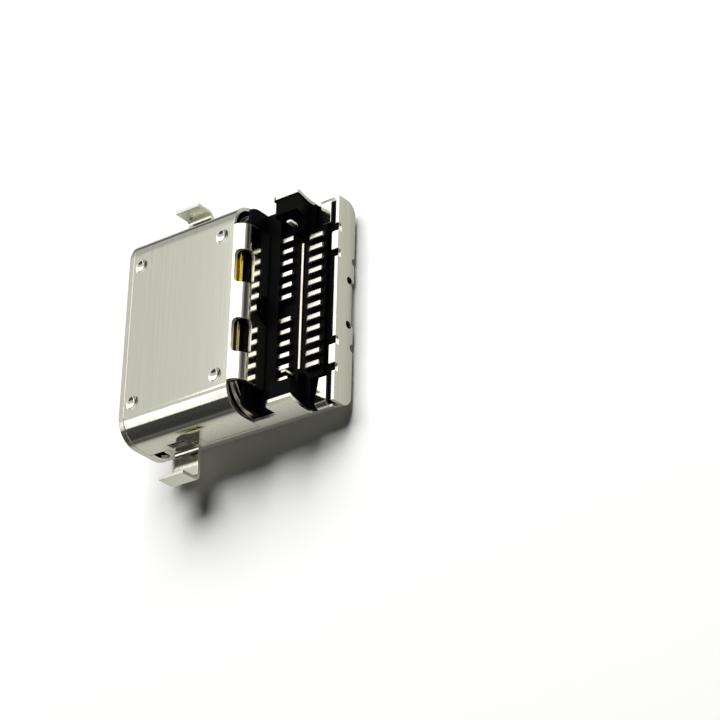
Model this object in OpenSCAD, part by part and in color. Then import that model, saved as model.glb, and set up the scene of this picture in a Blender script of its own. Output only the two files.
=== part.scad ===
// Charging port: a 24-contact board receptacle that sits in a cut-out of the board.
// X runs across the port, Y runs from the mouth (-Y) to the solder tails (+Y), Z is up.
// The plain cover face lies on Z = 0 and the dimpled face looks up.

/* [Mouth and tube] */
// Clear width of the plug mouth
mouth_w = 8.34; // [8.2:0.02:8.5]
// Clear height of the plug mouth
mouth_h = 2.56; // [2.5:0.02:2.7]
// Wall of the inner tube
tube_wall = 0.14; // [0.1:0.01:0.2]
// Length of the collar at the mouth that has the outline of the can
collar_len = 0.25; // [0.15:0.05:0.4]
// Distance of the tube's rolled seam from the middle
seam_x = 0.8; // [0:0.1:2]
// Width of the slit at the tube's rolled seam
seam_gap = 0.04; // [0.02:0.01:0.08]
// Inward step of the neck at the tube's rear
neck_in = 0.1; // [0.08:0.01:0.12]
// Length of the neck behind the upper shell's side walls
neck_len = 0.22; // [0.15:0.01:0.24]

/* [Can] */
// Sheet thickness of the two outer shells
sheet = 0.15; // [0.12:0.01:0.18]
// Outer corner radius of the can
can_r = 1.05; // [0.9:0.05:1.2]
// Length from the mouth to the rear face of the upper shell's flap
shell_len = 5.91; // [5.6:0.05:6.3]
// Length from the flap's rear face to the rear wall's rear face
bay_len = 3.01; // [2.9:0.05:3.4]

/* [Upper shell] */
// Outer radius of the bend between the dimpled face and the flap
bend_r = 0.56; // [0.5:0.02:0.6]
// Width of the flap
flap_w = 6.66; // [6.2:0.05:6.8]
// Height of the flap's lower edge above the solder face of the tails
flap_gap = 0.17; // [0.12:0.01:0.3]
// Radius of the half-round notch in the flap's lower edge
notch_r = 0.62; // [0.5:0.02:0.7]
// Distance between the middles of the two slots in the bend
slot_pitch = 2.96; // [2.6:0.05:3.2]
// Width of each slot
slot_w = 1.42; // [1.2:0.02:1.6]
// How far each slot reaches from the flap's face into the dimpled face
slot_in = 0.45; // [0.35:0.05:0.6]
// How far each slot reaches down the flap from the dimpled face
slot_down = 0.66; // [0.55:0.05:0.75]
// Corner radius of each slot
slot_r = 0.22; // [0.1:0.02:0.3]
// Distance between the dimples across the face
dimple_x = 5.96; // [5.4:0.05:6.2]
// Distance from the mouth to the front dimples
dimple_front = 0.66; // [0.5:0.02:0.8]
// Distance between the front and the rear dimples
dimple_y = 4.12; // [3.8:0.02:4.3]
// Radius of a dimple at the surface
dimple_r = 0.29; // [0.2:0.01:0.34]
// Depth of a dimple
dimple_deep = 0.1; // [0.04:0.01:0.11]
// Height of the seam between the two shells
seam_z = 1.52; // [1.4:0.02:1.6]
// Height of the lower edge of the plates that reach into the cover
plate_low = 1.14; // [1.1:0.02:1.2]
// Distance from the mouth to those plates
plate_at = 2.8; // [2.7:0.05:3]

/* [Legs] */
// Distance from the mouth to the middle of each leg
leg_at = 1.76; // [1.7:0.02:1.8]
// Width of each leg
leg_w = 1.2; // [1:0.05:1.3]
// Reach of each leg beyond the can's side
leg_out = 1.44; // [1.1:0.02:1.5]
// Height of the leg's flat top face
leg_z = 1.12; // [1.06:0.02:1.2]
// Height of the leg's turned-up tip above that face
tip_rise = 0.83; // [0.5:0.01:0.9]
// Inner radius of the leg's bends
leg_r = 0.14; // [0.08:0.02:0.2]
// Length of the window above each leg
window_len = 0.76; // [0.6:0.02:0.9]
// Height of the window above each leg
window_h = 0.34; // [0.2:0.02:0.4]

/* [Lower cover] */
// Distance from the mouth to the middle of the open notch in each side wall
peep_at = 0.65; // [0.6:0.05:0.75]
// Width of those notches
peep_w = 0.5; // [0.4:0.05:0.55]
// Height of the notches' round lower end
peep_low = 0.96; // [0.9:0.02:1.1]
// Gap between the cover's floor and the rear wall
rear_gap = 0.12; // [0.08:0.02:0.3]
// Length of each side tab at its top
tab_len = 1.28; // [1.2:0.02:1.3]
// Distance from the flap's face to the side tabs
tab_at = 0.64; // [0.6:0.02:0.7]
// Height of the side tabs above the cover face
tab_top = 2.42; // [2.2:0.02:2.6]
// Radius of the side tabs' front corner
tab_nose = 0.25; // [0.1:0.05:0.4]
// How far the side tabs' rear edge draws in at its root
tab_waist = 0.16; // [0.1:0.02:0.2]
// Distance between the two pressed tongues in the floor
press_pitch = 3.5; // [3:0.1:4]
// Distance from the flap's face to the pressed tongues
press_at = 0.6; // [0.4:0.1:1]
// Length of a pressed tongue
press_len = 0.55; // [0.4:0.05:0.7]
// Width of a pressed tongue
press_w = 0.6; // [0.4:0.05:0.7]
// Depth of a pressed tongue
press_deep = 0.04; // [0.02:0.01:0.08]
// Width of the slit beside a pressed tongue
press_slit = 0.07; // [0.05:0.01:0.1]
// Reach of the corner tabs inwards from the can's sides
corner_tab_in = 1.19; // [0.9:0.05:1.2]
// Length of the corner tabs
corner_tab_len = 0.34; // [0.3:0.02:0.4]
// Distance from the corner tabs to the rear wall
corner_tab_back = 0.24; // [0.2:0.02:0.3]
// How much longer the corner tabs are at their bends
corner_flare = 0.18; // [0.1:0.02:0.2]
// Outer radius of the corner tabs' bends
corner_r = 0.27; // [0.24:0.01:0.3]

/* [Rear wall] */
// Width of the rear wall
wall_w = 8.72; // [8.4:0.05:8.9]
// Height of the rear wall's lower edge
wall_low = 0.18; // [0.16:0.02:0.3]
// Depth of the rear wall's top edge below the solder face of the tails
wall_drop = 0.26; // [0.2:0.02:0.3]
// Corner radius at the rear wall's lower ends
wall_r = 0.5; // [0.3:0.05:0.6]
// Width of the strap that joins the floor to the rear wall
strap_w = 1.6; // [1.4:0.05:1.9]
// Outer radius of the strap's bend
strap_r = 0.45; // [0.4:0.01:0.5]
// Radius of the relief holes beside the strap
relief_r = 0.16; // [0.12:0.01:0.18]
// How far each relief hole bites into the strap
relief_bite = 0.02; // [0.01:0.005:0.03]
// Distance between a relief hole and the notch beside it in the rear wall's lower edge
relief_step = 0.9; // [0.8:0.02:1.2]
// Width of each hold-down tab on the rear wall's top edge
hold_w = 0.8; // [0.6:0.05:1.2]
// Distance between the middles of the hold-down tabs
hold_pitch = 4.85; // [4.4:0.05:5.2]
// Forward reach of the hold-down tabs
hold_in = 0.3; // [0.2:0.02:0.36]
// Width of the cuts beside the hold-down tabs
hold_cut = 0.32; // [0.1:0.02:0.4]
// Depth of the cuts beside the hold-down tabs
hold_deep = 0.2; // [0.18:0.02:0.3]

/* [Tongue] */
// Width of the tongue
tongue_w = 6.69; // [6.6:0.01:6.8]
// Thickness of the tongue
tongue_t = 0.7; // [0.66:0.01:0.74]
// Distance from the mouth to the tongue's tip
tip_at = 0.75; // [0.6:0.05:0.9]
// Corner radius of the tongue's tip seen from above
tip_r = 0.35; // [0.2:0.05:0.5]
// Distance from the rear of the tongue's base to the flap's face
base_back = 0.96; // [0.9:0.02:1.1]
// Length of the tongue's base
base_len = 0.75; // [0.7:0.05:0.8]
// Length of the step in front of the base
step_len = 0.7; // [0.5:0.05:0.9]
// Thickness of that step
step_t = 1.1; // [1:0.02:1.2]

/* [Contacts] */
// Contacts in each row
row_count = 12; // [12]
// Spacing of the contacts
pitch = 0.5; // [0.5:0.01:0.52]
// Width of a contact
contact_w = 0.2; // [0.18:0.01:0.26]
// Thickness of a contact
contact_t = 0.12; // [0.1:0.01:0.13]
// Setback of the contacts from the tongue's tip
contact_back = 0.35; // [0.25:0.05:0.5]
// Height of the solder face of the tails above the cover face
solder_z = 1.48; // [1.46:0.01:1.5]
// Distance from the flap's face to the front tails' bare part
front_tail_at = 0.5; // [0.45:0.05:0.6]
// Length of the front tails' bare part
front_tail_len = 0.52; // [0.48:0.02:0.6]
// Distance from the fin between the rows to the rear tails' bare part
rear_tail_at = 0.33; // [0.3:0.01:0.45]
// Length of the rear tails' bare part
rear_tail_len = 0.72; // [0.6:0.02:0.75]
// Sideways shift from the front tails to their place on the tongue
front_shift = 0.25; // [0.25]
// Height of the lower row's run under the mid plate
run_z = 0.5; // [0.46:0.01:0.52]

/* [Mid plate] */
// Thickness of the mid plate
mid_t = 0.1; // [0.08:0.01:0.12]
// Distance of the mid plate's edges from the tongue's sides
mid_inset = 0.35; // [0.2:0.05:0.45]
// Distance from the tongue's tip to the mid plate
mid_back = 0.25; // [0.2:0.05:0.4]
// Distance from the tongue's tip to the latch edges
latch_at = 0.95; // [0.8:0.05:1.1]
// Length of the latch edges
latch_len = 1.1; // [0.9:0.05:1.3]
// Height of the mid plate's run behind the base
mid_run_z = 0.96; // [0.94:0.01:0.98]
// Width of the fin between the two rows of tails
fin_w = 5.4; // [5:0.05:5.6]
// Distance from the flap's face to the fin
fin_at = 1.39; // [1.3:0.01:1.42]
// Depth of the fin's top below the solder face of the tails
fin_drop = 0.15; // [0.1:0.01:0.2]
// Distance of the upright arms from the middle
arm_x = 3.2; // [3.15:0.01:3.25]
// Reach of the arms behind the fin
arm_back = 0.16; // [0.12:0.01:0.2]
// Height of the arms above the cover face
arm_top = 2.3; // [2.2:0.02:2.4]
// Length of the arms above the bosses that hold them
arm_bare = 0.56; // [0.4:0.02:0.6]

/* [Housing] */
// Height of the tails' solder face above the housing's deck
tail_proud = 0.22; // [0.18:0.01:0.25]
// Gap between the housing's ledge and the flap above it
ledge_gap = 0.05; // [0.02:0.01:0.08]
// Width of each ear inside the side tabs
ear_w = 0.7; // [0.5:0.05:0.75]
// Height of the side tabs above the ears
ear_drop = 0.06; // [0.04:0.01:0.1]
// Plastic around each upright arm
boss_wall = 0.15; // [0.1:0.01:0.2]
// Room between the deck and the tabs of the cover beside it
deck_room = 0.06; // [0.04:0.01:0.1]

/* [Ground pads] */
// Thickness of the ground pads on the tongue's step
pad_t = 0.1; // [0.08:0.01:0.12]
// Width of the ground pads
pad_w = 5.6; // [5:0.1:6]
// Height of the ground pads' rear flange
pad_flange = 0.45; // [0.3:0.05:0.5]

/* [Clearances] */
// Gap between the tube and the can
layer_gap = 0.01; // [0.01:0.01:0.03]
// Gap around metal that is held in plastic, and between moulded pieces
fit_gap = 0.02; // [0.01:0.005:0.03]
// Gap along the interlocking seam of the two shells
joint_gap = 0.02; // [0.02:0.01:0.05]

/* [Hidden] */
$fn = 64;
// Points on each rounded bend of a leg
bend_steps = 6;
// Reach of a cutting shape past the wall that it cuts
over = 1;

can_w = mouth_w + 2 * (tube_wall + layer_gap + sheet);
can_h = mouth_h + 2 * (tube_wall + layer_gap + sheet);
mid_z = can_h / 2;
port_len = shell_len + bay_len;
front_y = -port_len / 2;
rear_y = port_len / 2;
can_y = front_y + collar_len + layer_gap;
flap_y = front_y + shell_len;
side_y = flap_y - bend_r;
neck_y = side_y - tube_wall;
tube_rear_y = side_y + neck_len;
floor_y = rear_y - sheet - rear_gap;
base_rear_y = flap_y - base_back;
base_y = base_rear_y - base_len;
tip_y = front_y + tip_at;
contact_y = tip_y + contact_back;
leg_y = front_y + leg_at;
plate_y = front_y + plate_at;
peep_y = front_y + peep_at;
tab_y = flap_y + tab_at;
front_tail_y = flap_y + front_tail_at;
fin_y = flap_y + fin_at;
arm_y = fin_y - mid_t / 2;
rear_tail_y = fin_y + rear_tail_at;
corner_tab_y = rear_y - sheet - corner_tab_back - corner_tab_len;
relief_x = strap_w / 2 + relief_r - relief_bite;
// The jog down from the tongue starts behind the base and ends before the flap
jog_y = base_rear_y + fit_gap + contact_t;
jog_end_y = flap_y - sheet - 2 * contact_t;
tail_z = solder_z - contact_t / 2;
upper_z = mid_z + tongue_t / 2 - contact_t / 2;
lower_z = mid_z - tongue_t / 2 + contact_t / 2;
deck_z = solder_z - tail_proud;
flap_low = solder_z + flap_gap;
ledge_z = flap_low - ledge_gap;
wall_top = solder_z - wall_drop;
fold_z = wall_top - corner_r;
shelf_z = wall_top - sheet - fit_gap;

steel = "#c6c5bb";
nickel = "#b9b7ac";
tin = "#e4e4e0";
black_plastic = "#0d0e12";

function unit(v) = v / norm(v);
function side(v) = [-v[1], v[0]];
function before(p, i) = unit(p[max(i, 1)] - p[max(i, 1) - 1]);
function after(p, i) = unit(p[min(i, len(p) - 2) + 1] - p[min(i, len(p) - 2)]);
function miter(p, i) = let (n = side(unit(before(p, i) + after(p, i)))) n / (n * side(before(p, i)));
function last(p) = len(p) - 1;
// Outline of a bent strip of thickness t along the line p
function strip(p, t) = concat(
    [for (i = [0 : last(p)]) p[i] + miter(p, i) * t / 2],
    [for (i = [last(p) : -1 : 0]) p[i] - miter(p, i) * t / 2]);
// The line p with both ends moved outwards by g
function stretch(p, g) = [for (i = [0 : last(p)])
    i == 0 ? p[0] - after(p, 0) * g : i == last(p) ? p[i] + before(p, i) * g : p[i]];
// The line p with each inner corner replaced by an arc of radius r
function rounded_line(p, r) = concat([p[0]],
    [for (i = [1 : last(p) - 1], k = [0 : bend_steps])
        arc_point(p[i], before(p, i), after(p, i), r, k / bend_steps)],
    [p[last(p)]]);
function arc_point(c, a, b, r, k) = let (
    turn = acos(a * b),
    reach = r * tan(turn / 2),
    hand = sign(a[0] * b[1] - a[1] * b[0]),
    start = c - a * reach,
    centre = start + side(a) * hand * r,
    angle = hand * turn * k,
    spoke = start - centre)
    centre + [spoke[0] * cos(angle) - spoke[1] * sin(angle), spoke[0] * sin(angle) + spoke[1] * cos(angle)];

function contact_name(row, i) = str("contact_", row, i < 10 ? "0" : "", i);
// Place of contact i on the tongue, with the row split about the middle
function contact_x(i) = (i - (row_count + 1) / 2) * pitch;
function front_tail_x(i) = contact_x(i) + sign(contact_x(i)) * front_shift;

// Extrusion of an X-Z drawing from y0 to y1
module along_y(y0, y1) {
    translate([0, y1, 0])
        rotate([90, 0, 0])
            linear_extrude(y1 - y0) children();
}

// Extrusion of a Y-Z drawing across a width w about x
module along_x(x, w) {
    translate([x - w / 2, 0, 0])
        rotate([90, 0, 90])
            linear_extrude(w) children();
}

// Extrusion of an X-Y drawing from z0 to z1
module along_z(z0, z1) {
    translate([0, 0, z0])
        linear_extrude(z1 - z0) children();
}

// Rectangle given by two opposite corners
module span(a, b) {
    translate(a) square(b - a);
}

module rounded_box(w, h, r) {
    square([w - 2 * r, h], center = true);
    square([w, h - 2 * r], center = true);
    for (sx = [-1, 1], sy = [-1, 1]) {
        translate([sx * (w / 2 - r), sy * (h / 2 - r)]) circle(r);
    }
}

// Full-round mouth section, grown by g
module mouth_section(g) {
    translate([0, mid_z]) {
        square([mouth_w - mouth_h, mouth_h + 2 * g], center = true);
        for (sx = [-1, 1]) {
            translate([sx * (mouth_w - mouth_h) / 2, 0]) circle(mouth_h / 2 + g);
        }
    }
}

// Outline of the can, shrunk by g
module can_section(g) {
    translate([0, mid_z]) rounded_box(can_w - 2 * g, can_h - 2 * g, can_r - g);
}

module can_wall() {
    difference() {
        can_section(0);
        can_section(sheet);
    }
}

module inner_shell() {
    color(steel) difference() {
        union() {
            along_y(front_y, side_y) mouth_section(tube_wall);
            along_y(neck_y, tube_rear_y) mouth_section(tube_wall - neck_in);
            along_y(front_y, front_y + collar_len) can_section(0);
        }
        along_y(front_y - over, neck_y) mouth_section(0);
        along_y(neck_y - over, tube_rear_y + over) mouth_section(-neck_in);
        along_y(front_y - over, tube_rear_y + over) translate([seam_x - seam_gap / 2, -over])
            square([seam_gap, mid_z + over]);
    }
}

// Flat face, bend and flap seen from the side
module flap_section() {
    span([side_y - bend_r, can_h - sheet], [side_y, can_h]);
    span([flap_y - sheet, flap_low], [flap_y, can_h - bend_r]);
    intersection() {
        translate([side_y, can_h - bend_r]) difference() {
            circle(bend_r);
            circle(bend_r - sheet);
        }
        span([side_y, can_h - bend_r], [flap_y, can_h]);
    }
}

// One slot over the bend, with round corners on the face and on the flap
module bend_slot() {
    corner = slot_w / 2 - slot_r;
    intersection() {
        along_z(mid_z, can_h + over) {
            span([-corner, flap_y - slot_in], [corner, flap_y + over]);
            span([-slot_w / 2, flap_y - slot_in + slot_r], [slot_w / 2, flap_y + over]);
            for (sx = [-1, 1]) translate([sx * corner, flap_y - slot_in + slot_r]) circle(slot_r);
        }
        along_y(side_y - bend_r, flap_y + over) {
            span([-corner, can_h - slot_down], [corner, can_h + over]);
            span([-slot_w / 2, can_h - slot_down + slot_r], [slot_w / 2, can_h + over]);
            for (sx = [-1, 1]) translate([sx * corner, can_h - slot_down + slot_r]) circle(slot_r);
        }
    }
}

module dimple() {
    ball_r = (dimple_r * dimple_r + dimple_deep * dimple_deep) / (2 * dimple_deep);
    translate([0, 0, can_h - dimple_deep + ball_r]) sphere(ball_r);
}

// Side view of what the upper shell keeps of the can, with its plates; g opens the cover around them
module upper_side(g) {
    span([can_y - over, seam_z - g], [side_y + g, can_h + over]);
    span([plate_y - g, plate_low - g], [side_y + g, seam_z + over]);
    span([leg_y - leg_w / 2 - g, leg_z - sheet - g], [leg_y + leg_w / 2 + g, seam_z + over]);
}

// One leg on the +X side: down from the side wall, out, and up at the tip
module leg() {
    wall_x = can_w / 2 - sheet / 2;
    flat_z = leg_z - sheet / 2;
    tip_x = can_w / 2 + leg_out - sheet / 2;
    line = [[wall_x, seam_z + sheet], [wall_x, flat_z], [tip_x, flat_z], [tip_x, leg_z + tip_rise]];
    along_y(leg_y - leg_w / 2, leg_y + leg_w / 2)
        polygon(strip(rounded_line(line, leg_r + sheet / 2), sheet));
}

module upper_shell() {
    color(steel) difference() {
        union() {
            intersection() {
                along_y(can_y, side_y) can_wall();
                along_x(0, can_w + 2 * over) difference() {
                    upper_side(0);
                    span([leg_y - leg_w / 2, leg_z - over], [leg_y + leg_w / 2, seam_z]);
                }
            }
            along_x(0, flap_w) flap_section();
            for (m = [0, 1]) mirror([m, 0, 0]) leg();
        }
        for (sx = [-1, 1]) translate([sx * slot_pitch / 2, 0, 0]) bend_slot();
        along_y(side_y, flap_y + over) translate([0, flap_low]) circle(notch_r);
        for (sx = [-1, 1], k = [0, 1]) {
            translate([sx * dimple_x / 2, front_y + dimple_front + k * dimple_y, 0]) dimple();
        }
        along_x(0, can_w + 2 * over)
            span([leg_y - window_len / 2, seam_z], [leg_y + window_len / 2, seam_z + window_h]);
    }
}

// Side tab seen from the side, with a round front corner, drawn in by g
module side_tab(g) {
    nose = [tab_y + g + tab_nose, tab_top - g - tab_nose];
    rear = tab_y + tab_len - g;
    translate(nose) circle(tab_nose);
    polygon([
        [tab_y + g, seam_z - over],
        [tab_y + g, nose[1]],
        [nose[0], nose[1] + tab_nose],
        [rear, nose[1] + tab_nose],
        [rear - tab_waist, seam_z],
        [rear - tab_waist, seam_z - over]]);
}

// Open notch in the cover's side wall with a round lower end, seen from the side
module peep_notch() {
    r = peep_w / 2;
    translate([peep_y, peep_low + r]) circle(r);
    span([peep_y - r, peep_low + r], [peep_y + r, seam_z + over]);
}

// Cuts beside the hold-down tabs in the rear wall's top edge
module hold_cuts() {
    for (sx = [-1, 1], st = [-1, 1]) {
        translate([sx * hold_pitch / 2 + st * (hold_w + hold_cut) / 2 - hold_cut / 2, wall_top - hold_deep])
            square([hold_cut, hold_deep + over]);
    }
}

module rear_wall() {
    along_y(rear_y - sheet, rear_y) difference() {
        union() {
            span([-wall_w / 2, wall_low + wall_r], [wall_w / 2, wall_top]);
            span([-wall_w / 2 + wall_r, wall_low], [wall_w / 2 - wall_r, wall_top]);
            for (sx = [-1, 1]) translate([sx * (wall_w / 2 - wall_r), wall_low + wall_r]) circle(wall_r);
        }
        span([-relief_x, -over], [relief_x, strap_r]);
        for (sx = [-1, 1]) {
            translate([sx * relief_x, strap_r]) circle(relief_r);
            translate([sx * (relief_x + relief_step), wall_low]) circle(relief_r);
        }
        hold_cuts();
    }
    hold_tabs();
}

// Tabs that fold forward from the rear wall's top edge
module hold_tabs() {
    for (sx = [-1, 1]) along_z(wall_top - sheet, wall_top) translate([sx * hold_pitch / 2, 0])
        span([-hold_w / 2, rear_y - hold_in], [hold_w / 2, rear_y]);
}

// Tab that folds inwards from the +X side wall at the rear corner, slanted in front, grown by g
module corner_tab(g) {
    centre = [can_w / 2 - corner_r, fold_z];
    tip = [can_w / 2 - corner_tab_in - g, corner_tab_y - g];
    root = [centre[0], tip[1] - corner_flare];
    slant = root - tip;
    difference() {
        along_y(root[1], corner_tab_y + corner_tab_len + g) {
            span([tip[0], wall_top - sheet - g], [centre[0], wall_top + g]);
            intersection() {
                translate(centre) difference() {
                    circle(corner_r + g);
                    circle(corner_r - sheet - g);
                }
                span(centre, [can_w / 2 + g, wall_top + g]);
            }
        }
        along_z(0, can_h) polygon([
            tip - slant,
            root + slant,
            root + slant - [0, over],
            tip - slant - [0, over]]);
    }
}

// Strap that turns up from the floor into the rear wall
module strap() {
    along_x(0, strap_w) {
        span([floor_y - strap_r, 0], [rear_y - strap_r, sheet]);
        span([rear_y - sheet, strap_r], [rear_y, strap_r + relief_r]);
        intersection() {
            translate([rear_y - strap_r, strap_r]) difference() {
                circle(strap_r);
                circle(strap_r - sheet);
            }
            span([rear_y - strap_r, 0], [rear_y, strap_r]);
        }
    }
}

// Room for the strap's bend at the lower rear edge of what lies inside the cover
module strap_room() {
    along_x(0, strap_w + 2 * fit_gap) difference() {
        span([rear_y - strap_r, 0], [rear_y, strap_r]);
        translate([rear_y - strap_r, strap_r]) circle(strap_r - sheet - fit_gap);
    }
}

module lower_cover() {
    color(steel) difference() {
        union() {
            intersection() {
                along_y(can_y, floor_y) can_wall();
                along_x(0, can_w + 2 * over) difference() {
                    union() {
                        span([can_y, -over], [tab_y + tab_len - tab_waist, seam_z]);
                        span([can_y, -over], [floor_y, fold_z]);
                        side_tab(0);
                    }
                    upper_side(joint_gap);
                    peep_notch();
                }
            }
            for (m = [0, 1]) mirror([m, 0, 0]) corner_tab(0);
            strap();
            rear_wall();
        }
        for (sx = [-1, 1]) translate([sx * press_pitch / 2, flap_y + press_at, 0]) {
            along_z(-over, press_deep) square([press_w, press_len], center = true);
            along_z(-over, sheet + over) translate([-press_w / 2, 0])
                square([press_slit, press_len], center = true);
        }
    }
}

// Line of a lower-row contact, from the tongue to the rear tail
function lower_line() = [
    [contact_y, lower_z],
    [jog_y, lower_z],
    [jog_end_y, run_z],
    [rear_tail_y + contact_t / 2, run_z],
    [rear_tail_y + contact_t / 2, tail_z],
    [rear_tail_y + rear_tail_len, tail_z]];

// Line of an upper-row contact, from the tongue to the level of the tails
function upper_line() = [
    [contact_y, upper_z],
    [jog_y, upper_z],
    [jog_end_y, tail_z],
    [flap_y - sheet, tail_z]];

// Upper-row contact seen from above, from the jog to the front tail
function tail_line(i) = [
    [contact_x(i), jog_end_y],
    [contact_x(i), flap_y - sheet],
    [front_tail_x(i), front_tail_y - contact_w / 2],
    [front_tail_x(i), front_tail_y + front_tail_len]];

// Contact strips, grown by g for the pockets that hold them
module upper_contact(i, g) {
    along_x(contact_x(i), contact_w + 2 * g) polygon(strip(stretch(upper_line(), g), contact_t + 2 * g));
    along_z(solder_z - contact_t - g, solder_z + g)
        polygon(strip(stretch(tail_line(i), g), contact_w + 2 * g));
}

module lower_contact(i, g) {
    along_x(contact_x(i), contact_w + 2 * g) polygon(strip(stretch(lower_line(), g), contact_t + 2 * g));
}

module mid_shape(g) {
    line = [[tip_y + mid_back, mid_z], [jog_y, mid_z], [jog_end_y, mid_run_z], [fin_y, mid_run_z]];
    fin = [[fin_y, mid_run_z - mid_t / 2], [fin_y, solder_z - fin_drop]];
    along_x(0, tongue_w - 2 * mid_inset + 2 * g) polygon(strip(stretch(line, g), mid_t + 2 * g));
    along_x(0, fin_w + 2 * g) polygon(strip(stretch(fin, g), mid_t + 2 * g));
    along_z(mid_run_z - mid_t / 2 - g, mid_run_z + mid_t / 2 + g)
        span([-arm_x - mid_t / 2 - g, arm_y - g], [arm_x + mid_t / 2 + g, fin_y + arm_back + g]);
    for (sx = [-1, 1]) along_x(sx * arm_x, mid_t + 2 * g)
        span([arm_y - g, mid_run_z - mid_t / 2 - g], [fin_y + arm_back + g, arm_top + g]);
    along_z(mid_z - mid_t / 2 - g, mid_z + mid_t / 2 + g)
        span([-tongue_w / 2 - g, tip_y + latch_at - g], [tongue_w / 2 + g, tip_y + latch_at + latch_len + g]);
}

module mid_plate() {
    color(nickel) mid_shape(0);
}

// Everything metal that passes through the plastic
module metal_pockets() {
    for (i = [1 : row_count]) {
        upper_contact(i, fit_gap);
        lower_contact(i, fit_gap);
    }
    mid_shape(fit_gap);
}

// Ground pad over the step, grown by g, before it is mirrored to the lower side
module pad_shape(g) {
    step_z = mid_z + step_t / 2;
    along_x(0, pad_w + 2 * g) {
        span([base_y - step_len, step_z - g], [base_y, step_z + pad_t + g]);
        span([base_y - pad_t - fit_gap, step_z - g], [base_y - fit_gap, step_z + pad_flange + g]);
    }
}

module below() {
    translate([0, 0, 2 * mid_z]) mirror([0, 0, 1]) children();
}

module upper_ground_pad() {
    color(nickel) pad_shape(0);
}

module lower_ground_pad() {
    color(nickel) below() pad_shape(0);
}

module tongue() {
    color(black_plastic) difference() {
        union() {
            along_z(mid_z - tongue_t / 2, mid_z + tongue_t / 2) {
                span([-tongue_w / 2, tip_y + tip_r], [tongue_w / 2, base_y]);
                span([-tongue_w / 2 + tip_r, tip_y], [tongue_w / 2 - tip_r, base_y]);
                for (sx = [-1, 1]) translate([sx * (tongue_w / 2 - tip_r), tip_y + tip_r]) circle(tip_r);
            }
            along_z(mid_z - step_t / 2, mid_z + step_t / 2)
                span([-tongue_w / 2, base_y - step_len], [tongue_w / 2, base_y]);
            along_y(base_y, base_rear_y) mouth_section(-fit_gap);
        }
        metal_pockets();
    }
}

module housing() {
    body_front_y = tube_rear_y + fit_gap;
    wall_in = sheet + fit_gap;
    ear_x = can_w / 2 - wall_in - ear_w / 2;
    boss_x = arm_x - mid_t / 2 - boss_wall;
    deck_x = can_w / 2 - corner_tab_in - deck_room;
    color(black_plastic) difference() {
        union() {
            along_y(base_rear_y + fit_gap, neck_y - fit_gap) mouth_section(-fit_gap);
            along_y(base_rear_y + fit_gap, body_front_y) mouth_section(-neck_in - fit_gap);
            intersection() {
                along_y(body_front_y, rear_y - wall_in) can_section(wall_in);
                union() {
                    along_x(0, can_w) {
                        span([body_front_y, 0], [rear_y, deck_z]);
                        span([body_front_y, 0], [front_tail_y, ledge_z]);
                        span([body_front_y, 0], [flap_y - wall_in, can_h - bend_r]);
                    }
                    for (sx = [-1, 1]) along_x(sx * ear_x, ear_w) side_tab(ear_drop);
                    for (m = [0, 1]) mirror([m, 0, 0]) along_z(0, arm_top - arm_bare)
                        span([boss_x, arm_y - boss_wall], [ear_x, fin_y + arm_back + boss_wall]);
                }
            }
            along_y(flap_y - 2 * sheet, flap_y) intersection() {
                translate([0, flap_low]) circle(notch_r - fit_gap);
                span([-notch_r, deck_z], [notch_r, can_h]);
            }
        }
        along_z(shelf_z, deck_z + over) difference() {
            span([-can_w, tab_y + tab_len], [can_w, rear_y]);
            span([-deck_x, tab_y], [deck_x, rear_tail_y + rear_tail_len + deck_room]);
        }
        metal_pockets();
        for (m = [0, 1]) mirror([m, 0, 0]) corner_tab(fit_gap);
        strap_room();
    }
}

inner_shell();
upper_shell();
lower_cover();
housing();
tongue();
mid_plate();
upper_ground_pad();
lower_ground_pad();
for (i = [1 : row_count]) {
    color(tin) upper_contact(i, 0);
    color(tin) lower_contact(i, 0);
}
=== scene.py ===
import math

import bmesh
import bpy
from mathutils import Matrix, Vector
from mathutils.bvhtree import BVHTree


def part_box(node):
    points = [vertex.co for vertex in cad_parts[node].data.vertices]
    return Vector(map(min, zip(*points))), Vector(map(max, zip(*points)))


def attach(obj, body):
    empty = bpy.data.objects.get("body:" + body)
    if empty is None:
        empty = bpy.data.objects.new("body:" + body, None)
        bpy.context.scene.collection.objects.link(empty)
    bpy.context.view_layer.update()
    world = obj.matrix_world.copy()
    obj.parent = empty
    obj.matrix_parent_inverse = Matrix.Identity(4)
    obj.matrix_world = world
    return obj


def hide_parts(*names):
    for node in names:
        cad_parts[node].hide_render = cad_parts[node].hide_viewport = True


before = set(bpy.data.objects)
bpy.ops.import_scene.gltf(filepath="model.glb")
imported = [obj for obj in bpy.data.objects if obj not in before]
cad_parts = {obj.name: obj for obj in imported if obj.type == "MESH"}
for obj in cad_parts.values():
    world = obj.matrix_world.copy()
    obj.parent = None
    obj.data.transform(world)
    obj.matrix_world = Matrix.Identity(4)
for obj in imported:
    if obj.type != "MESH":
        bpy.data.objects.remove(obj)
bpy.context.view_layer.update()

scene = bpy.context.scene
mm = 0.001
print("frame loaded:", len(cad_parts), "nodes")


# colours and node helpers

smooth = {"interpolation_type": "SMOOTHSTEP"}
mixColour = {"data_type": "RGBA"}


def linear(hexColour):  # sRGB hex to linear RGBA
    parts = [int(hexColour[i:i + 2], 16) / 255 for i in (1, 3, 5)]
    return [c / 12.92 if c <= 0.04045 else ((c + 0.055) / 1.055) ** 2.4 for c in parts] + [1.0]


def addNode(tree, kind, settings=None, links=None):  # links: input name or number -> value or socket
    node = tree.nodes.new(kind)
    for name, value in (settings or {}).items():
        setattr(node, name, value)
    for key, value in (links or {}).items():
        if isinstance(value, bpy.types.NodeSocket):
            tree.links.new(value, node.inputs[key])
        else:
            node.inputs[key].default_value = value
    return node


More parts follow.
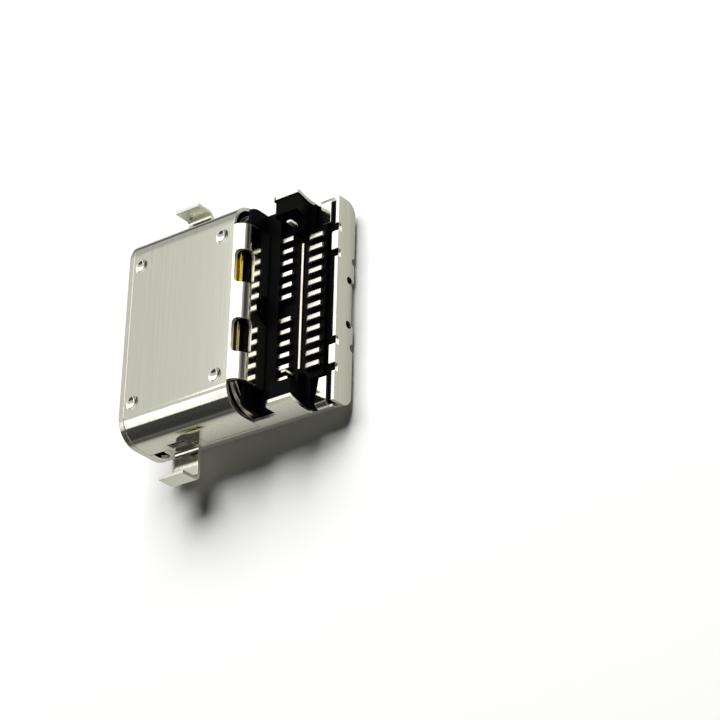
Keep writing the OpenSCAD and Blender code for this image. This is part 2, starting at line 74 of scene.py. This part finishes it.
def newMaterial(name):
    material = bpy.data.materials.new(name)
    material.use_nodes = True
    tree = material.node_tree
    tree.nodes.clear()
    shader = addNode(tree, "ShaderNodeBsdfPrincipled")
    addNode(tree, "ShaderNodeOutputMaterial", None, {"Surface": shader.outputs[0]})
    return material, tree, shader


# rolled and stamped metal: a fine grain along one axis, and a sheet that is never quite flat
# the real grain is too fine to show, so each one is drawn as coarse as it needs to be seen

grainSet = {"detail": 3.0, "rough": 0.6, "low": 0.3, "high": 0.7, "depthMm": 0.005}
waveSet = {"detail": 2.0, "rough": 0.5, "depthMm": 0.02}


def paintedWarmReflection(tree, place, colour, warmReflection):  # painted reflection: straw to brown across the port, behind one depth, near the middle
    spot = addNode(tree, "ShaderNodeSeparateXYZ", None, {0: place})
    across = addNode(tree, "ShaderNodeMapRange", smooth,
                     {"Value": spot.outputs["X"],
                      "From Min": -warmReflection["spanMm"] * mm, "From Max": warmReflection["spanMm"] * mm})
    behind = addNode(tree, "ShaderNodeMapRange", smooth,
                     {"Value": spot.outputs["Y"],
                      "From Min": warmReflection["fromMm"] * mm, "From Max": warmReflection["toMm"] * mm})
    aside = addNode(tree, "ShaderNodeMath", {"operation": "ABSOLUTE"}, {0: spot.outputs["X"]})
    middle = addNode(tree, "ShaderNodeMapRange", smooth,
                     {"Value": aside.outputs[0], "From Min": (warmReflection["reachMm"] + warmReflection["fadeMm"]) * mm,
                      "From Max": warmReflection["reachMm"] * mm})
    share = addNode(tree, "ShaderNodeMath", {"operation": "MULTIPLY"},
                    {0: behind.outputs[0], 1: middle.outputs[0]})
    # painted reflection: straw on one side of the port, brown on the other
    reflectionTint = addNode(tree, "ShaderNodeMix", mixColour,
                    {0: across.outputs[0], 6: linear(warmReflection["straw"]), 7: linear(warmReflection["brown"])})
    return addNode(tree, "ShaderNodeMix", mixColour,
                   {0: share.outputs[0], 6: colour, 7: reflectionTint.outputs[2]}).outputs[2]


def rolledMetal(name, look):
    material, tree, shader = newMaterial(name)
    place = addNode(tree, "ShaderNodeTexCoord").outputs["Object"]
    scale = [1 / (look["grainMm"] * mm)] * 3
    scale["XYZ".index(look["along"])] = 1 / (look["runMm"] * mm)
    stretch = addNode(tree, "ShaderNodeMapping", None, {"Vector": place, "Scale": scale})
    grain = addNode(tree, "ShaderNodeTexNoise", None,
                    {"Vector": stretch.outputs[0], "Scale": 1.0, "Detail": grainSet["detail"],
                     "Roughness": grainSet["rough"]})
    cloud = addNode(tree, "ShaderNodeTexNoise", None,
                    {"Vector": place, "Scale": 1 / (look["cloudMm"] * mm), "Detail": waveSet["detail"],
                     "Roughness": waveSet["rough"]})
    streak = addNode(tree, "ShaderNodeMapRange", None,
                     {"Value": grain.outputs[0], "From Min": grainSet["low"], "From Max": grainSet["high"]})
    tint = addNode(tree, "ShaderNodeMix", mixColour,
                   {0: streak.outputs[0], 6: linear(look["colour"]), 7: linear(look["stain"])})
    colour = tint.outputs[2]
    if "warmReflection" in look:
        colour = paintedWarmReflection(tree, place, colour, look["warmReflection"])
    rough = addNode(tree, "ShaderNodeMapRange", None,
                    {"Value": streak.outputs[0],
                     "To Min": look["rough"] - look["spread"], "To Max": look["rough"] + look["spread"]})
    wave = addNode(tree, "ShaderNodeBump", None,
                   {"Height": cloud.outputs[0], "Strength": look["wave"],
                    "Distance": waveSet["depthMm"] * mm})
    bump = addNode(tree, "ShaderNodeBump", None,
                   {"Height": grain.outputs[0], "Strength": look["bump"],
                    "Distance": grainSet["depthMm"] * mm, "Normal": wave.outputs[0]})
    shader.inputs["Metallic"].default_value = 1.0
    tree.links.new(colour, shader.inputs["Base Color"])
    tree.links.new(rough.outputs[0], shader.inputs["Roughness"])
    tree.links.new(bump.outputs[0], shader.inputs["Normal"])
    return material


# nickel-plated stainless sheet, cold rolled: satin mirror, warm grey, faint grain across the port
sheetLook = {"colour": "#e2e2d3", "stain": "#d9d9ca", "rough": 0.1, "spread": 0.03, "along": "X",
             "grainMm": 0.11, "runMm": 5.0, "cloudMm": 2.4, "wave": 0.02, "bump": 0.1}
nickel = rolledMetal("nickelPlatedSheet", sheetLook)

# sheared edge of that sheet: torn by the punch, so duller and paler than the rolled face
shearLook = {"colour": "#f0eee6", "stain": "#e2dfd4", "rough": 0.32, "spread": 0.06, "along": "Z",
             "grainMm": 0.03, "runMm": 0.3, "cloudMm": 0.4, "wave": 0.1, "bump": 0.25}
sheared = rolledMetal("shearedSheetEdge", shearLook)

# drawn stainless tube: smooth, with draw lines along the port; straw and brown at the neck are a painted
# warm reflection
neckReflectionTint = {"fromMm": 0.78, "toMm": 0.86, "spanMm": 1.6, "reachMm": 2.3, "fadeMm": 0.3,
            "straw": "#c9b448", "brown": "#94866c"}
tubeLook = {"colour": "#dedbd0", "stain": "#d0cbbc", "rough": 0.17, "spread": 0.05, "along": "Y",
            "grainMm": 0.05, "runMm": 3.0, "cloudMm": 1.2, "wave": 0.05, "bump": 0.12, "warmReflection": neckReflectionTint}
tubeSteel = rolledMetal("drawnTubeSteel", tubeLook)

# bright stamped stainless: the plates inside, a little browner than the shells
plateLook = {"colour": "#ded9ca", "stain": "#d0c9b7", "rough": 0.24, "spread": 0.06, "along": "X",
             "grainMm": 0.06, "runMm": 1.5, "cloudMm": 0.8, "wave": 0.05, "bump": 0.15}
plateSteel = rolledMetal("brightStampedSteel", plateLook)

# bright tin on copper alloy, with gold on the wiping ends: soft white gloss, faintly mottled
# the specks are drawn coarser than real ones, so that they show
tinLook = {"tin": "#fcfaf4", "mottle": "#efe9db", "gold": "#dcb452", "rough": 0.3, "spread": 0.1,
           "speckMm": 0.06, "speckDepthMm": 0.005, "speckDetail": 2.0, "bump": 0.1, "goldEndMm": 0.5,
           "goldFadeMm": 0.1}


def tinPlate(name, look):
    material, tree, shader = newMaterial(name)
    place = addNode(tree, "ShaderNodeTexCoord").outputs["Object"]
    speck = addNode(tree, "ShaderNodeTexNoise", None,
                    {"Vector": place, "Scale": 1 / (look["speckMm"] * mm), "Detail": look["speckDetail"]})
    depth = addNode(tree, "ShaderNodeSeparateXYZ", None, {0: place})
    plating = addNode(tree, "ShaderNodeMapRange", None,
                      {"Value": depth.outputs["Y"],
                       "From Min": (look["goldEndMm"] - look["goldFadeMm"]) * mm,
                       "From Max": (look["goldEndMm"] + look["goldFadeMm"]) * mm})
    bright = addNode(tree, "ShaderNodeMix", mixColour,
                     {0: speck.outputs[0], 6: linear(look["tin"]), 7: linear(look["mottle"])})
    tint = addNode(tree, "ShaderNodeMix", mixColour,
                   {0: plating.outputs[0], 6: linear(look["gold"]), 7: bright.outputs[2]})
    rough = addNode(tree, "ShaderNodeMapRange", None,
                    {"Value": speck.outputs[0],
                     "To Min": look["rough"] - look["spread"], "To Max": look["rough"] + look["spread"]})
    bump = addNode(tree, "ShaderNodeBump", None,
                   {"Height": speck.outputs[0], "Strength": look["bump"],
                    "Distance": look["speckDepthMm"] * mm})
    shader.inputs["Metallic"].default_value = 1.0
    tree.links.new(tint.outputs[2], shader.inputs["Base Color"])
    tree.links.new(rough.outputs[0], shader.inputs["Roughness"])
    tree.links.new(bump.outputs[0], shader.inputs["Normal"])
    return material


tin = tinPlate("brightTinPlate", tinLook)

# black liquid crystal polymer, injection moulded: deep black with a dull sheen and faint flow marks
# its pits are drawn coarser than real ones, so that they show
plasticLook = {"colour": "#030304", "flow": "#070708", "ior": 1.45, "sheen": 0.05, "roughFrom": 0.47,
               "roughTo": 0.65, "flowMm": 0.5, "flowDetail": 3.0, "flowTwist": 1.2, "pitMm": 0.05,
               "pitDepthMm": 0.01, "pitDetail": 2.0, "bump": 0.08}


def mouldedPlastic(name, look):
    material, tree, shader = newMaterial(name)
    place = addNode(tree, "ShaderNodeTexCoord").outputs["Object"]
    flow = addNode(tree, "ShaderNodeTexNoise", None,
                   {"Vector": place, "Scale": 1 / (look["flowMm"] * mm), "Detail": look["flowDetail"],
                    "Distortion": look["flowTwist"]})
    pits = addNode(tree, "ShaderNodeTexNoise", None,
                   {"Vector": place, "Scale": 1 / (look["pitMm"] * mm), "Detail": look["pitDetail"]})
    tint = addNode(tree, "ShaderNodeMix", mixColour,
                   {0: flow.outputs[0], 6: linear(look["colour"]), 7: linear(look["flow"])})
    rough = addNode(tree, "ShaderNodeMapRange", None,
                    {"Value": flow.outputs[0], "To Min": look["roughFrom"], "To Max": look["roughTo"]})
    bump = addNode(tree, "ShaderNodeBump", None,
                   {"Height": pits.outputs[0], "Strength": look["bump"],
                    "Distance": look["pitDepthMm"] * mm})
    shader.inputs["IOR"].default_value = look["ior"]
    shader.inputs["Specular IOR Level"].default_value = look["sheen"]
    tree.links.new(tint.outputs[2], shader.inputs["Base Color"])
    tree.links.new(rough.outputs[0], shader.inputs["Roughness"])
    tree.links.new(bump.outputs[0], shader.inputs["Normal"])
    return material


plastic = mouldedPlastic("mouldedBlackPolymer", plasticLook)
print("materials made")


# solids that keep their form: merged copies, worked in mm, with softened edges

softSet = {"flatDeg": 0.5, "edgeDeg": 28, "steps": 2, "evenWeight": 100}
shearSet = {"startMm": 0.002, "sheets": 1.6}


def settle(piece):  # keeps what the modifiers make as a plain mesh, and turns mm into metres
    graph = bpy.context.evaluated_depsgraph_get()
    made = bpy.data.meshes.new_from_object(piece.evaluated_get(graph), preserve_all_data_layers=True,
                                           depsgraph=graph)
    piece.modifiers.clear()
    piece.data = made
    made.name = piece.name
    made.transform(Matrix.Scale(mm, 4))
    made.update()


def markSheared(shape, sheetMm):  # a face is a cut edge where the metal behind it is deeper than the sheet
    tree = BVHTree.FromBMesh(shape)
    for face in shape.faces:
        start = face.calc_center_median() - face.normal * shearSet["startMm"]
        depth = tree.ray_cast(start, -face.normal)[3]
        face.material_index = 1 if depth and depth > shearSet["sheets"] * sheetMm else 0


def softenedSolid(nodeName, pieceName, setup, finishes):
    shape = bmesh.new()
    shape.from_mesh(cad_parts[nodeName].data)
    bmesh.ops.scale(shape, vec=(1 / mm, 1 / mm, 1 / mm), verts=shape.verts[:])
    bmesh.ops.remove_doubles(shape, verts=shape.verts[:], dist=setup["mergeMm"])
    for face in shape.faces:
        face.material_index = 0
        face.smooth = True
    shape.normal_update()
    if "sheetMm" in setup:
        markSheared(shape, setup["sheetMm"])
    bmesh.ops.dissolve_limit(shape, angle_limit=math.radians(softSet["flatDeg"]), verts=shape.verts[:],
                             edges=shape.edges[:], delimit={"MATERIAL"})
    mesh = bpy.data.meshes.new(pieceName)
    shape.to_mesh(mesh)
    shape.free()
    for finish in finishes:
        mesh.materials.append(finish)
    piece = bpy.data.objects.new(pieceName, mesh)
    scene.collection.objects.link(piece)
    soften = piece.modifiers.new("softEdges", "BEVEL")
    soften.width = setup["edgeMm"]
    soften.segments = softSet["steps"]
    soften.limit_method = "ANGLE"
    soften.angle_limit = math.radians(softSet["edgeDeg"])
    soften.use_clamp_overlap = False
    even = piece.modifiers.new("evenFaces", "WEIGHTED_NORMAL")
    even.mode = "FACE_AREA"
    even.weight = softSet["evenWeight"]
    settle(piece)
    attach(piece, "root")
    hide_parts(nodeName)
    print(pieceName, len(piece.data.polygons), "faces")


shellSet = {"mergeMm": 0.007, "edgeMm": 0.014, "sheetMm": 0.15, "slot": "shell_nickel"}
tubeSet = {"mergeMm": 0.004, "edgeMm": 0.02, "slot": "tube_steel"}
mouldSet = {"mergeMm": 0.002, "edgeMm": 0.012, "slot": "black_plastic"}
plateSet = {"mergeMm": 0.002, "edgeMm": 0.012, "slot": "inner_steel"}

softenedSolid("upper_shell", "upperShell", shellSet, [nickel, sheared])
softenedSolid("lower_cover", "lowerCover", shellSet, [nickel, sheared])
softenedSolid("inner_shell", "plugTube", tubeSet, [tubeSteel])
softenedSolid("housing", "housingBlock", mouldSet, [plastic])
softenedSolid("tongue", "contactTongue", mouldSet, [plastic])
softenedSolid("mid_plate", "middlePlate", plateSet, [plateSteel])
softenedSolid("upper_ground_pad", "upperGroundPad", plateSet, [plateSteel])
softenedSolid("lower_ground_pad", "lowerGroundPad", plateSet, [plateSteel])


# contacts: one bent strip swept along its path and repeated across the row, in mm

contactSet = {"count": 12, "spacing": 0.5, "width": 0.2, "thick": 0.12, "corner": 0.02, "cornerSteps": 3,
              "bend": 0.1, "bendSteps": 5, "sharpDeg": 40, "jogFrom": 0.63, "jogTo": 1.06, "riser": 3.23,
              "sideFrom": 1.3, "sideTo": 1.85, "sideStep": 0.25}


def contactTree(finish, setup):
    tree = bpy.data.node_groups.new("contactRow", "GeometryNodeTree")
    sockets = tree.interface
    sockets.new_socket("Geometry", in_out="INPUT", socket_type="NodeSocketGeometry")
    sockets.new_socket("Count", in_out="INPUT", socket_type="NodeSocketInt")
    for name in ("Spacing", "Width", "Thickness", "Corner", "Bend"):
        sockets.new_socket(name, in_out="INPUT", socket_type="NodeSocketFloat")
    sockets.new_socket("Geometry", in_out="OUTPUT", socket_type="NodeSocketGeometry")
    given = tree.nodes.new("NodeGroupInput").outputs
    path = addNode(tree, "GeometryNodeMeshToCurve", None, {"Mesh": given["Geometry"]})
    bent = addNode(tree, "GeometryNodeFilletCurve", {"mode": "POLY"},
                   {"Curve": path.outputs[0], "Count": setup["bendSteps"], "Radius": given["Bend"],
                    "Limit Radius": True})
    section = addNode(tree, "GeometryNodeCurvePrimitiveQuadrilateral", {"mode": "RECTANGLE"},
                      {"Width": given["Width"], "Height": given["Thickness"]})
    soft = addNode(tree, "GeometryNodeFilletCurve", {"mode": "POLY"},
                   {"Curve": section.outputs[0], "Count": setup["cornerSteps"], "Radius": given["Corner"],
                    "Limit Radius": True})
    strip = addNode(tree, "GeometryNodeCurveToMesh", None,
                    {"Curve": bent.outputs[0], "Profile Curve": soft.outputs[0], "Fill Caps": True})
    step = addNode(tree, "ShaderNodeCombineXYZ", None, {"X": given["Spacing"]})
    row = addNode(tree, "GeometryNodeMeshLine", {"mode": "OFFSET"},
                  {"Count": given["Count"], "Offset": step.outputs[0]})
    copies = addNode(tree, "GeometryNodeInstanceOnPoints", None,
                     {"Points": row.outputs[0], "Instance": strip.outputs[0]})
    real = addNode(tree, "GeometryNodeRealizeInstances", None, {"Geometry": copies.outputs[0]})
    dressed = addNode(tree, "GeometryNodeSetMaterial", None,
                      {"Geometry": real.outputs[0], "Material": finish})
    done = tree.nodes.new("NodeGroupOutput")
    tree.links.new(dressed.outputs[0], done.inputs[0])
    return tree


def contactRow(pieceName, path, count, tree, setup, nodeNames):
    mesh = bpy.data.meshes.new(pieceName)
    mesh.from_pydata(path, [(i, i + 1) for i in range(len(path) - 1)], [])
    piece = bpy.data.objects.new(pieceName, mesh)
    scene.collection.objects.link(piece)
    maker = piece.modifiers.new("row", "NODES")
    maker.node_group = tree
    sizes = {"Count": count, "Spacing": setup["spacing"], "Width": setup["width"],
             "Thickness": setup["thick"], "Corner": setup["corner"], "Bend": setup["bend"]}
    for item in tree.interface.items_tree:
        if item.in_out == "INPUT" and item.name in sizes:
            maker[item.identifier] = sizes[item.name]
    settle(piece)
    piece.data.set_sharp_from_angle(angle=math.radians(setup["sharpDeg"]))
    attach(piece, "root")
    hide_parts(*nodeNames)
    print(pieceName, len(piece.data.polygons), "faces")


def makeContacts(setup):
    tree = contactTree(tin, setup)
    half = setup["count"] // 2
    rearLow, rearHigh = [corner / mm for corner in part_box("contact_b01")]
    frontLow, frontHigh = [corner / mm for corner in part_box("contact_a12")]
    tubeLow, tubeHigh = [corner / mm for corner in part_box("inner_shell")]
    firstX = (rearLow[0] + rearHigh[0]) / 2
    runZ = rearLow[2] + setup["thick"] / 2
    tailZ = rearHigh[2] - setup["thick"] / 2
    upperZ = frontHigh[2] - setup["thick"] / 2
    lowerZ = tubeLow[2] + tubeHigh[2] - upperZ  # the two rows lie evenly about the tube's middle
    rear = [(firstX, rearLow[1], lowerZ), (firstX, setup["jogFrom"], lowerZ),
            (firstX, setup["jogTo"], runZ), (firstX, setup["riser"], runZ),
            (firstX, setup["riser"], tailZ), (firstX, rearHigh[1], tailZ)]
    contactRow("rearContacts", rear, setup["count"], tree, setup,
               ["contact_b%02d" % i for i in range(1, setup["count"] + 1)])
    for side, start, name in ((-1, firstX, "leftContacts"), (1, setup["spacing"] / 2, "rightContacts")):
        tailX = start + side * setup["sideStep"]
        front = [(start, frontLow[1], upperZ), (start, setup["jogFrom"], upperZ),
                 (start, setup["jogTo"], tailZ), (start, setup["sideFrom"], tailZ),
                 (tailX, setup["sideTo"], tailZ), (tailX, frontHigh[1], tailZ)]
        first = 1 if side < 0 else half + 1
        contactRow(name, front, half, tree, setup,
                   ["contact_a%02d" % i for i in range(first, first + half)])


makeContacts(contactSet)
print("pieces made")


# camera at the photograph's angle: place and aim in mm, roll in degrees

cameraSet = {"place": (43.211, 53.28, 63.045), "aim": (3.281, 5.847, 1.5), "roll": -58.06,
             "lens": 120, "sensor": 36, "near": 1}


def addCamera(setup):
    data = bpy.data.cameras.new("camera")
    data.lens = setup["lens"]
    data.sensor_width = setup["sensor"]
    data.clip_start = setup["near"] * mm
    camera = bpy.data.objects.new("camera", data)
    place = Vector(setup["place"]) * mm
    point = (Vector(setup["aim"]) * mm - place).to_track_quat("-Z", "Y").to_matrix()
    turn = point @ Matrix.Rotation(math.radians(setup["roll"]), 3, "Z")
    camera.matrix_world = Matrix.Translation(place) @ turn.to_4x4()
    scene.collection.objects.link(camera)
    scene.camera = camera


addCamera(cameraSet)


# pale floor: white to the eye; to mirrors it glows light grey, a painted reflection, with painted shade
# under the part, and it fades far away

# mirrored: the grey the floor glows in mirrors, a painted reflection; near: painted shade under and beside
# the part
floorSet = {"colour": "#f4f4f2", "rough": 0.9, "sheen": 0.1, "sizeMm": 1500, "mirrored": "#d1d1cd",
            "footMm": (4.3, 3.5), "nearMm": (0.1, 1.7), "paintedShadeLevel": (0.2, 1.0), "farMm": (2, 14),
            "farLevel": (1.0, 0.16)}


def addFloor(setup):
    mesh = bpy.data.meshes.new("floor")
    reach = setup["sizeMm"] * mm / 2
    mesh.from_pydata([(-reach, -reach, 0), (reach, -reach, 0), (reach, reach, 0), (-reach, reach, 0)],
                     [], [(0, 1, 2, 3)])
    floor = bpy.data.objects.new("floor", mesh)
    scene.collection.objects.link(floor)
    material, tree, shader = newMaterial("whiteSweepWithPaintedReflection")
    shader.inputs["Base Color"].default_value = linear(setup["colour"])
    shader.inputs["Roughness"].default_value = setup["rough"]
    shader.inputs["Specular IOR Level"].default_value = setup["sheen"]
    place = addNode(tree, "ShaderNodeTexCoord").outputs["Object"]
    spot = addNode(tree, "ShaderNodeSeparateXYZ", None, {0: place})
    past = []
    for axis, foot in zip("XY", setup["footMm"]):
        size = addNode(tree, "ShaderNodeMath", {"operation": "ABSOLUTE"}, {0: spot.outputs[axis]})
        past.append(addNode(tree, "ShaderNodeMath", {"operation": "SUBTRACT"},
                            {0: size.outputs[0], 1: foot * mm}).outputs[0])
    gap = addNode(tree, "ShaderNodeMath", {"operation": "MAXIMUM"}, {0: past[0], 1: past[1]})
    fades = []
    for span, level in (("nearMm", "paintedShadeLevel"), ("farMm", "farLevel")):
        fades.append(addNode(tree, "ShaderNodeMapRange", smooth,
                             {"Value": gap.outputs[0], "From Min": setup[span][0] * mm,
                              "From Max": setup[span][1] * mm, "To Min": setup[level][0],
                              "To Max": setup[level][1]}).outputs[0])
    lit = addNode(tree, "ShaderNodeMath", {"operation": "MULTIPLY"}, {0: fades[0], 1: fades[1]})
    ray = addNode(tree, "ShaderNodeLightPath")
    # painted reflection: a grey glow that only mirrors see, with painted shade near the part and fading far
    # off
    grey = addNode(tree, "ShaderNodeEmission", None,
                   {"Color": linear(setup["mirrored"]), "Strength": lit.outputs[0]})
    both = addNode(tree, "ShaderNodeMixShader", None,
                   {0: ray.outputs["Is Glossy Ray"], 1: shader.outputs[0], 2: grey.outputs[0]})
    target = next(node for node in tree.nodes if node.type == "OUTPUT_MATERIAL")
    tree.links.new(both.outputs[0], target.inputs["Surface"])
    mesh.materials.append(material)


addFloor(floorSet)


# studio: two soft boxes overhead that the metal mirrors, and a wide lamp that throws the shadow, in mm

lampSet = {
    "overheadBox": {"place": (-92, 30, 100), "aim": (-92, 30, 0), "turn": 0, "size": (116, 220),
                    "watts": 0.12, "mirrored": True},
    "cornerBox": {"place": (24, -79, 100), "aim": (24, -79, 0), "turn": -10, "size": (66, 19),
                  "watts": 0.0056, "mirrored": True},
    "shadowLamp": {"place": (-255, -25, 260), "aim": (0, 0, 0), "turn": 0, "size": (320, 290),
                   "watts": 2.7, "mirrored": False},
}


def addLamp(name, setup):
    data = bpy.data.lights.new(name, "AREA")
    data.shape = "RECTANGLE"
    data.size = setup["size"][0] * mm
    data.size_y = setup["size"][1] * mm
    data.energy = setup["watts"]
    lamp = bpy.data.objects.new(name, data)
    place = Vector(setup["place"]) * mm
    point = (Vector(setup["aim"]) * mm - place).to_track_quat("-Z", "Y").to_matrix()
    turn = point @ Matrix.Rotation(math.radians(setup["turn"]), 3, "Z")
    lamp.matrix_world = Matrix.Translation(place) @ turn.to_4x4()
    lamp.visible_glossy = setup["mirrored"]
    lamp.visible_diffuse = not setup["mirrored"]
    scene.collection.objects.link(lamp)


for lampName, lamp in lampSet.items():
    addLamp(lampName, lamp)


# sky that the metal mirrors: each ramp runs between its two levels over a span of the ray's direction

skySet = {
    "fill": 0.004,  # light on what isn't a mirror
    "bandY": -0.59,  # a dark band to +X lies about this Y
    "tilt": 0.2,  # lean of the left end of the low part
    "ramps": {
        "above": {"of": "Z", "span": (0.12, 0.6), "level": (0.04, 0.715)},  # paler with height
        "darkSide": {"of": "X", "span": (0.25, -0.05), "level": (0.08, 1.0)},
        "darkFront": {"of": "Y", "span": (-0.82, -0.68), "level": (0.12, 1.0)},
        "glow": {"of": "X", "span": (-0.55, -0.7), "level": (0.04, 0.5)},  # soft light on the -X side
        "besideBand": {"of": "offBand", "span": (0.06, 0.12), "level": (0.0, 0.5)},
        "rim": {"of": "Z", "span": (0.22, 0.0), "level": (0.0, 0.15)},  # pale line above the floor
        "rightPart": {"of": "slant", "span": (-0.31, -0.17), "level": (0.0, 1.0)},
        "lowPart": {"of": "Z", "span": (0.8, 0.55), "level": (0.0, 1.0)},
    },
}


def addSky(setup):  # the sky is white to the eye, and a faint fill to all but mirrors
    world = bpy.data.worlds.new("studio")
    world.use_nodes = True
    scene.world = world
    tree = world.node_tree
    tree.nodes.clear()
    ray = addNode(tree, "ShaderNodeTexCoord").outputs["Generated"]
    way = addNode(tree, "ShaderNodeSeparateXYZ", None, {0: ray})
    parts = {axis: way.outputs[axis] for axis in "XYZ"}
    apart = addNode(tree, "ShaderNodeMath", {"operation": "SUBTRACT"}, {0: parts["Y"], 1: setup["bandY"]})
    parts["offBand"] = addNode(tree, "ShaderNodeMath", {"operation": "ABSOLUTE"},
                               {0: apart.outputs[0]}).outputs[0]
    parts["slant"] = addNode(tree, "ShaderNodeMath", {"operation": "MULTIPLY_ADD"},
                             {0: parts["Y"], 1: setup["tilt"], 2: parts["X"]}).outputs[0]
    for name, ramp in setup["ramps"].items():
        parts[name] = addNode(tree, "ShaderNodeMapRange", smooth,
                              {"Value": parts[ramp["of"]], "From Min": ramp["span"][0],
                               "From Max": ramp["span"][1], "To Min": ramp["level"][0],
                               "To Max": ramp["level"][1]}).outputs[0]
    joins = (("high", "MULTIPLY", "above", "darkSide"), ("high", "MULTIPLY", "high", "darkFront"),
             ("high", "MAXIMUM", "high", "glow"), ("low", "MAXIMUM", "besideBand", "rim"),
             ("low", "MULTIPLY", "low", "rightPart"), ("low", "MULTIPLY", "low", "lowPart"),
             ("sky", "MAXIMUM", "high", "low"))
    for name, operation, first, second in joins:
        parts[name] = addNode(tree, "ShaderNodeMath", {"operation": operation},
                              {0: parts[first], 1: parts[second]}).outputs[0]
    eye = addNode(tree, "ShaderNodeLightPath")
    tone = addNode(tree, "ShaderNodeMix", {"data_type": "FLOAT"},
                   {0: eye.outputs["Is Glossy Ray"], 2: setup["fill"], 3: parts["sky"]})
    light = addNode(tree, "ShaderNodeBackground", None, {"Strength": tone.outputs[0]})
    white = addNode(tree, "ShaderNodeBackground", None, {"Strength": 1.0})
    for lit in (light, white):
        lit.inputs["Color"].default_value = linear("#ffffff")
    both = addNode(tree, "ShaderNodeMixShader", None,
                   {0: eye.outputs["Is Camera Ray"], 1: light.outputs[0], 2: white.outputs[0]})
    addNode(tree, "ShaderNodeOutputWorld", None, {"Surface": both.outputs[0]})


addSky(skySet)
scene.view_settings.view_transform = "Standard"
print("camera, floor and lamps placed")
